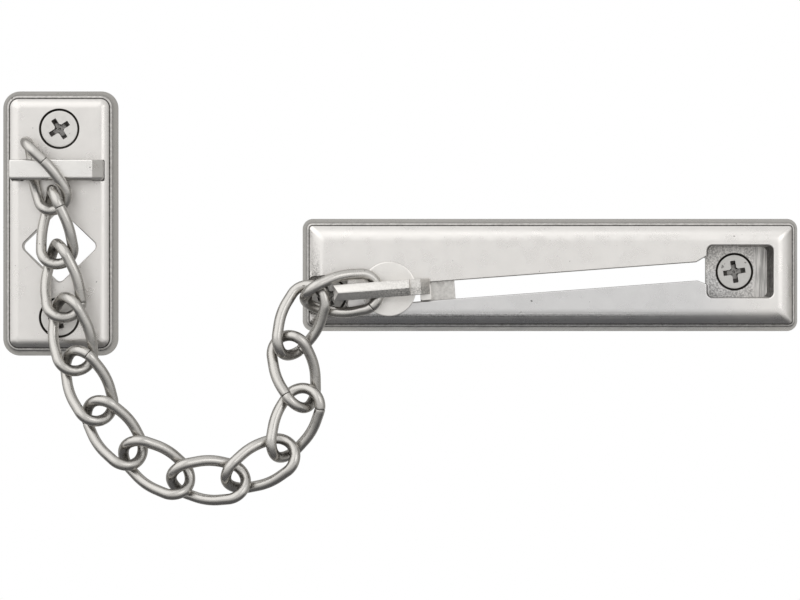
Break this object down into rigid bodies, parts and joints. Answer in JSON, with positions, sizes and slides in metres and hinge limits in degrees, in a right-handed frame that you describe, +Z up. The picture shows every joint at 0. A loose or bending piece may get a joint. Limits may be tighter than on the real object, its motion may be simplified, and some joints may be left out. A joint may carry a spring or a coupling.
{
  "type": "door chain",
  "caption": "Door chain with a slotted track plate, a sliding eye, a chain of twisted curb links and a holder plate, in satin nickel",
  "frame": {"origin": "midway between the two screws of the holder plate, on its back plane, where it meets the door frame", "axes": "+X runs towards the track plate, +Y points into the door frame, +Z is up"},
  "size_m": [0.1759, 0.0343, 0.0913],
  "materials": {
    "frame_plate": "satin nickel plate",
    "chain_staple": "satin nickel plate",
    "frame_screw_top": "satin nickel plate",
    "frame_screw_bottom": "satin nickel plate",
    "track_plate": "satin nickel plate",
    "track_screw_left": "satin nickel plate",
    "track_screw_right": "satin nickel plate",
    "slider": "satin nickel plate",
    "links": "satin nickel plate"
  },
  "bodies": {
    "plates": {"frame_plate": "frame_plate", "chain_staple": "chain_staple", "frame_screw_top": "frame_screw_top", "frame_screw_bottom": "frame_screw_bottom", "track_plate": "track_plate", "track_screw_left": "track_screw_left", "track_screw_right": "track_screw_right"},
    "slider": {"slider": "slider"},
    "link_01": {"link_01": "links"},
    "link_02": {"link_02": "links"},
    "link_03": {"link_03": "links"},
    "link_04": {"link_04": "links"},
    "link_05": {"link_05": "links"},
    "link_06": {"link_06": "links"},
    "link_07": {"link_07": "links"},
    "link_08": {"link_08": "links"},
    "link_09": {"link_09": "links"},
    "link_10": {"link_10": "links"},
    "link_11": {"link_11": "links"},
    "link_12": {"link_12": "links"},
    "link_13": {"link_13": "links"}
  },
  "joints": [
    {"name": "slider_slide", "type": "slide", "parent": "plates", "child": "slider", "axis": [0.9972, 0, 0.075], "range_m": [0, 0.0685]},
    {"name": "link_01_turn", "type": "hinge", "parent": "link_02", "child": "link_01", "pos_m": [-0.00093, -0.0109, 0.005], "axis": [0, -1, 0], "range_deg": [-20.5, 0]},
    {"name": "link_02_turn", "type": "hinge", "parent": "link_03", "child": "link_02", "pos_m": [0.00011, -0.01111, -0.00685], "axis": [0, -1, 0], "range_deg": [-8.8, 0]},
    {"name": "link_03_turn", "type": "hinge", "parent": "link_04", "child": "link_03", "pos_m": [0.00205, -0.01245, -0.01853], "axis": [0, -1, 0], "range_deg": [0, 2.4]},
    {"name": "link_04_turn", "type": "hinge", "parent": "link_05", "child": "link_04", "pos_m": [0.00452, -0.01255, -0.03017], "axis": [0, -1, 0], "range_deg": [0, 8.4]},
    {"name": "link_05_turn", "type": "hinge", "parent": "link_06", "child": "link_05", "pos_m": [0.00899, -0.01245, -0.0412], "axis": [0, -1, 0], "range_deg": [0, 13.3]},
    {"name": "link_06_turn", "type": "hinge", "parent": "link_07", "child": "link_06", "pos_m": [0.01679, -0.01215, -0.05023], "axis": [0, -1, 0], "range_deg": [0, 12.3]},
    {"name": "link_07_turn", "type": "hinge", "parent": "link_08", "child": "link_07", "pos_m": [0.02726, -0.01175, -0.05595], "axis": [0, -1, 0], "range_deg": [0, 15.2]},
    {"name": "link_08_turn", "type": "hinge", "parent": "link_09", "child": "link_08", "pos_m": [0.0392, -0.01135, -0.05579], "axis": [0, -1, 0], "range_deg": [0, 15.9]},
    {"name": "link_09_turn", "type": "hinge", "parent": "link_10", "child": "link_09", "pos_m": [0.04926, -0.01105, -0.04931], "axis": [0, -1, 0], "range_deg": [0, 19.7]},
    {"name": "link_10_turn", "type": "hinge", "parent": "link_11", "child": "link_10", "pos_m": [0.05393, -0.01105, -0.03835], "axis": [0, -1, 0], "range_deg": [0, 30.8]},
    {"name": "link_11_turn", "type": "hinge", "parent": "link_12", "child": "link_11", "pos_m": [0.05074, -0.01115, -0.02689], "axis": [0, -1, 0], "range_deg": [-32.5, 0]},
    {"name": "link_12_turn", "type": "hinge", "parent": "link_13", "child": "link_12", "pos_m": [0.05649, -0.01135, -0.01642], "axis": [0, -1, 0], "range_deg": [-32.4, 0]},
    {"name": "link_13_turn", "type": "hinge", "parent": "slider", "child": "link_13", "pos_m": [0.07049, -0.01135, -0.0147], "axis": [0, -1, 0], "range_deg": [-4.5, 0]}
  ],
  "couplings": [
    {"joint": "link_01_turn", "follows": "slider_slide", "rad_per_m": -5.14},
    {"joint": "link_02_turn", "follows": "slider_slide", "rad_per_m": -2.16},
    {"joint": "link_03_turn", "follows": "slider_slide", "rad_per_m": 0.53},
    {"joint": "link_04_turn", "follows": "slider_slide", "rad_per_m": 2.07},
    {"joint": "link_05_turn", "follows": "slider_slide", "rad_per_m": 3.32},
    {"joint": "link_06_turn", "follows": "slider_slide", "rad_per_m": 3.05},
    {"joint": "link_07_turn", "follows": "slider_slide", "rad_per_m": 3.79},
    {"joint": "link_08_turn", "follows": "slider_slide", "rad_per_m": 3.98},
    {"joint": "link_09_turn", "follows": "slider_slide", "rad_per_m": 4.93},
    {"joint": "link_10_turn", "follows": "slider_slide", "rad_per_m": 7.75},
    {"joint": "link_11_turn", "follows": "slider_slide", "rad_per_m": -8.18},
    {"joint": "link_12_turn", "follows": "slider_slide", "rad_per_m": -8.16},
    {"joint": "link_13_turn", "follows": "slider_slide", "rad_per_m": -1.06}
  ]
}
